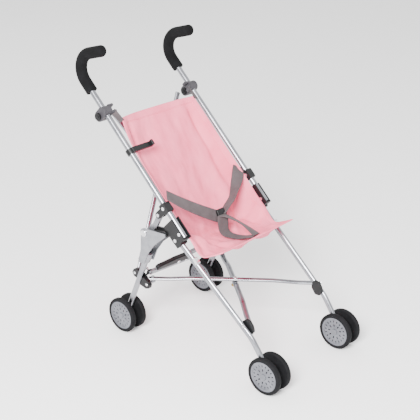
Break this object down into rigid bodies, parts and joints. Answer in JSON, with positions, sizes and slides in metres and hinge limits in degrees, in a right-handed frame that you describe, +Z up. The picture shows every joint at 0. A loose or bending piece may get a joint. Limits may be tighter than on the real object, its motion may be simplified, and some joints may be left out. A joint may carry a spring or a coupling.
{
  "type": "folding doll stroller",
  "caption": "Folding toy stroller with curved foam-gripped handles, crossed braces, a rear foot lock, paired wheels and a sling seat with a harness.",
  "frame": {"origin": "centre of the footprint at floor level", "axes": "+Z up, the front faces -Y, the stroller's own right side is -X"},
  "size_m": [0.2656, 0.4891, 0.5538],
  "materials": {
    "tube": "satin anodised",
    "brace_tube": "satin",
    "lock_steel": "satin grey",
    "grey_steel": "satin grey",
    "black_plate": "satin black",
    "rivet": "bright",
    "foam_grip": "matt foam",
    "black_plastic": "moulded",
    "grey_plastic": "moulded",
    "hub_plastic": "moulded",
    "tyre": "matt foam tread",
    "seat_fabric": "woven",
    "webbing": "woven tape"
  },
  "bodies": {
    "right_leg": {"right_rear_leg": "tube", "right_leg_head": "grey_steel", "right_head_bolt": "rivet", "right_rear_foot": "black_plastic"},
    "right_link": {"right_fold_link": "grey_steel"},
    "right_upper": {"right_upper_tube": "tube", "right_grip": "foam_grip", "right_clamp": "grey_plastic", "right_knob": "black_plastic", "right_link_bracket": "black_plastic", "right_upper_rivets": "rivet", "seat_sling": "seat_fabric", "harness": "webbing"},
    "right_front": {"right_front_leg": "tube", "right_knee_channel": "black_plastic", "right_knee_rivets": "rivet", "right_front_foot": "black_plastic", "right_seat_clip": "rivet"},
    "right_knee_plates": {"right_knee_plates": "black_plate"},
    "right_rear_yoke": {"right_rear_yoke": "rivet"},
    "right_rear_bar": {"right_rear_bar": "brace_tube"},
    "right_base_yoke": {"right_base_yoke": "rivet"},
    "right_base_bar": {"right_base_bar": "brace_tube"},
    "right_lock": {"right_lock_arm": "lock_steel", "lock_lever": "black_plastic"},
    "right_front_wheels": {"right_front_axle": "rivet", "right_front_tyres": "tyre", "right_front_hubs": "hub_plastic"},
    "right_rear_wheels": {"right_rear_axle": "rivet", "right_rear_tyres": "tyre", "right_rear_hubs": "hub_plastic"},
    "left_leg": {"left_rear_leg": "tube", "left_leg_head": "grey_steel", "left_head_bolt": "rivet", "left_rear_foot": "black_plastic"},
    "left_link": {"left_fold_link": "grey_steel"},
    "left_upper": {"left_upper_tube": "tube", "left_grip": "foam_grip", "left_clamp": "grey_plastic", "left_knob": "black_plastic", "left_link_bracket": "black_plastic", "left_upper_rivets": "rivet"},
    "left_front": {"left_front_leg": "tube", "left_knee_channel": "black_plastic", "left_knee_rivets": "rivet", "left_front_foot": "black_plastic", "left_seat_clip": "rivet"},
    "left_knee_plates": {"left_knee_plates": "black_plate"},
    "left_rear_yoke": {"left_rear_yoke": "rivet"},
    "left_rear_bar": {"left_rear_bar": "brace_tube"},
    "left_base_yoke": {"left_base_yoke": "rivet"},
    "left_base_bar": {"left_base_bar": "brace_tube"},
    "left_lock": {"left_lock_arm": "lock_steel"},
    "left_front_wheels": {"left_front_axle": "rivet", "left_front_tyres": "tyre", "left_front_hubs": "hub_plastic"},
    "left_rear_wheels": {"left_rear_axle": "rivet", "left_rear_tyres": "tyre", "left_rear_hubs": "hub_plastic"},
    "hook": {"carry_hook": "black_plastic"}
  },
  "joints": [
    {"name": "fold", "type": "slide", "parent": "right_leg", "child": "left_leg", "axis": [-1, 0, 0], "range_m": [0, 0.135], "deforming": ["seat_sling", "harness"]},
    {"name": "right_link_turn", "type": "hinge", "parent": "right_leg", "child": "right_link", "pos_m": [-0.114, 0.07, 0.226], "axis": [1, 0, 0], "range_deg": [-13.37, 0]},
    {"name": "right_upper_turn", "type": "hinge", "parent": "right_link", "child": "right_upper", "pos_m": [-0.114, 0.03776, 0.2681], "axis": [1, 0, 0], "range_deg": [0, 44.52]},
    {"name": "right_knee_turn", "type": "hinge", "parent": "right_upper", "child": "right_front", "pos_m": [-0.114, -0.01439, 0.24581], "axis": [1, 0, 0], "range_deg": [-85.22, 0]},
    {"name": "right_plates_turn", "type": "hinge", "parent": "right_leg", "child": "right_knee_plates", "pos_m": [-0.114, 0.07, 0.226], "axis": [1, 0, 0], "range_deg": [0, 47.79]},
    {"name": "right_rear_yoke_turn", "type": "hinge", "parent": "right_leg", "child": "right_rear_yoke", "pos_m": [-0.098, 0.11, 0.128], "axis": [1, 0, 0], "range_deg": [0, 16.75]},
    {"name": "right_rear_bar_turn", "type": "hinge", "parent": "right_rear_yoke", "child": "right_rear_bar", "pos_m": [-0.098, 0.11, 0.128], "axis": [0, 0.9707, -0.2403], "range_deg": [-23.19, 0]},
    {"name": "right_base_yoke_turn", "type": "hinge", "parent": "right_leg", "child": "right_base_yoke", "pos_m": [-0.098, 0.08, 0.113], "axis": [1, 0, 0], "range_deg": [-30.98, 0]},
    {"name": "right_base_bar_turn", "type": "hinge", "parent": "right_base_yoke", "child": "right_base_bar", "pos_m": [-0.098, 0.08, 0.113], "axis": [0, -0.0127, 0.9999], "range_deg": [-28.37, 0]},
    {"name": "right_lock_turn", "type": "hinge", "parent": "right_leg", "child": "right_lock", "pos_m": [-0.0995, 0.0869, 0.1342], "axis": [0, -0.9174, -0.3981], "range_deg": [0, 76.51]},
    {"name": "right_front_wheels_turn", "type": "hinge", "parent": "right_front", "child": "right_front_wheels", "pos_m": [-0.1055, -0.21006, 0.0345], "axis": [1, 0, 0], "continuous": true},
    {"name": "right_rear_wheels_turn", "type": "hinge", "parent": "right_leg", "child": "right_rear_wheels", "pos_m": [-0.114, 0.1365, 0.0345], "axis": [1, 0, 0], "continuous": true},
    {"name": "left_link_turn", "type": "hinge", "parent": "left_leg", "child": "left_link", "pos_m": [0.114, 0.07, 0.226], "axis": [1, 0, 0], "range_deg": [-13.37, 0]},
    {"name": "left_upper_turn", "type": "hinge", "parent": "left_link", "child": "left_upper", "pos_m": [0.114, 0.03776, 0.2681], "axis": [1, 0, 0], "range_deg": [0, 44.52]},
    {"name": "left_knee_turn", "type": "hinge", "parent": "left_upper", "child": "left_front", "pos_m": [0.114, -0.01439, 0.24581], "axis": [1, 0, 0], "range_deg": [-85.22, 0]},
    {"name": "left_plates_turn", "type": "hinge", "parent": "left_leg", "child": "left_knee_plates", "pos_m": [0.114, 0.07, 0.226], "axis": [1, 0, 0], "range_deg": [0, 47.79]},
    {"name": "left_rear_yoke_turn", "type": "hinge", "parent": "left_leg", "child": "left_rear_yoke", "pos_m": [0.098, 0.11, 0.128], "axis": [1, 0, 0], "range_deg": [0, 16.75]},
    {"name": "left_rear_bar_turn", "type": "hinge", "parent": "left_rear_yoke", "child": "left_rear_bar", "pos_m": [0.098, 0.11, 0.128], "axis": [0, 0.9707, -0.2403], "range_deg": [0, 23.19]},
    {"name": "left_base_yoke_turn", "type": "hinge", "parent": "left_leg", "child": "left_base_yoke", "pos_m": [0.098, 0.08, 0.113], "axis": [1, 0, 0], "range_deg": [-30.98, 0]},
    {"name": "left_base_bar_turn", "type": "hinge", "parent": "left_base_yoke", "child": "left_base_bar", "pos_m": [0.098, 0.08, 0.113], "axis": [0, -0.0127, 0.9999], "range_deg": [0, 28.37]},
    {"name": "left_lock_turn", "type": "hinge", "parent": "left_leg", "child": "left_lock", "pos_m": [0.0995, 0.0869, 0.1342], "axis": [0, -0.9174, -0.3981], "range_deg": [-76.51, 0]},
    {"name": "left_front_wheels_turn", "type": "hinge", "parent": "left_front", "child": "left_front_wheels", "pos_m": [0.1055, -0.21006, 0.0345], "axis": [1, 0, 0], "continuous": true},
    {"name": "left_rear_wheels_turn", "type": "hinge", "parent": "left_leg", "child": "left_rear_wheels", "pos_m": [0.114, 0.1365, 0.0345], "axis": [1, 0, 0], "continuous": true},
    {"name": "hook_turn", "type": "hinge", "parent": "right_upper", "child": "hook", "pos_m": [-0.114, 0.11104, 0.36928], "axis": [0, 0.7126, 0.7015], "range_deg": [0, 35]}
  ],
  "couplings": [
    {"joint": "right_link_turn", "follows": "fold", "rad_per_m": -1.7265},
    {"joint": "right_upper_turn", "follows": "fold", "rad_per_m": 5.7538},
    {"joint": "right_knee_turn", "follows": "fold", "rad_per_m": -11.014},
    {"joint": "right_plates_turn", "follows": "fold", "rad_per_m": 6.1758},
    {"joint": "right_rear_yoke_turn", "follows": "fold", "rad_per_m": 2.1623},
    {"joint": "right_rear_bar_turn", "follows": "fold", "rad_per_m": -2.9957},
    {"joint": "right_base_yoke_turn", "follows": "fold", "rad_per_m": -4.0026},
    {"joint": "right_base_bar_turn", "follows": "fold", "rad_per_m": -3.6656},
    {"joint": "right_lock_turn", "follows": "fold", "rad_per_m": 9.8886},
    {"joint": "left_link_turn", "follows": "fold", "rad_per_m": -1.7265},
    {"joint": "left_upper_turn", "follows": "fold", "rad_per_m": 5.7538},
    {"joint": "left_knee_turn", "follows": "fold", "rad_per_m": -11.014},
    {"joint": "left_plates_turn", "follows": "fold", "rad_per_m": 6.1758},
    {"joint": "left_rear_yoke_turn", "follows": "fold", "rad_per_m": 2.1623},
    {"joint": "left_rear_bar_turn", "follows": "fold", "rad_per_m": 2.9957},
    {"joint": "left_base_yoke_turn", "follows": "fold", "rad_per_m": -4.0026},
    {"joint": "left_base_bar_turn", "follows": "fold", "rad_per_m": 3.6656},
    {"joint": "left_lock_turn", "follows": "fold", "rad_per_m": -9.8886}
  ]
}
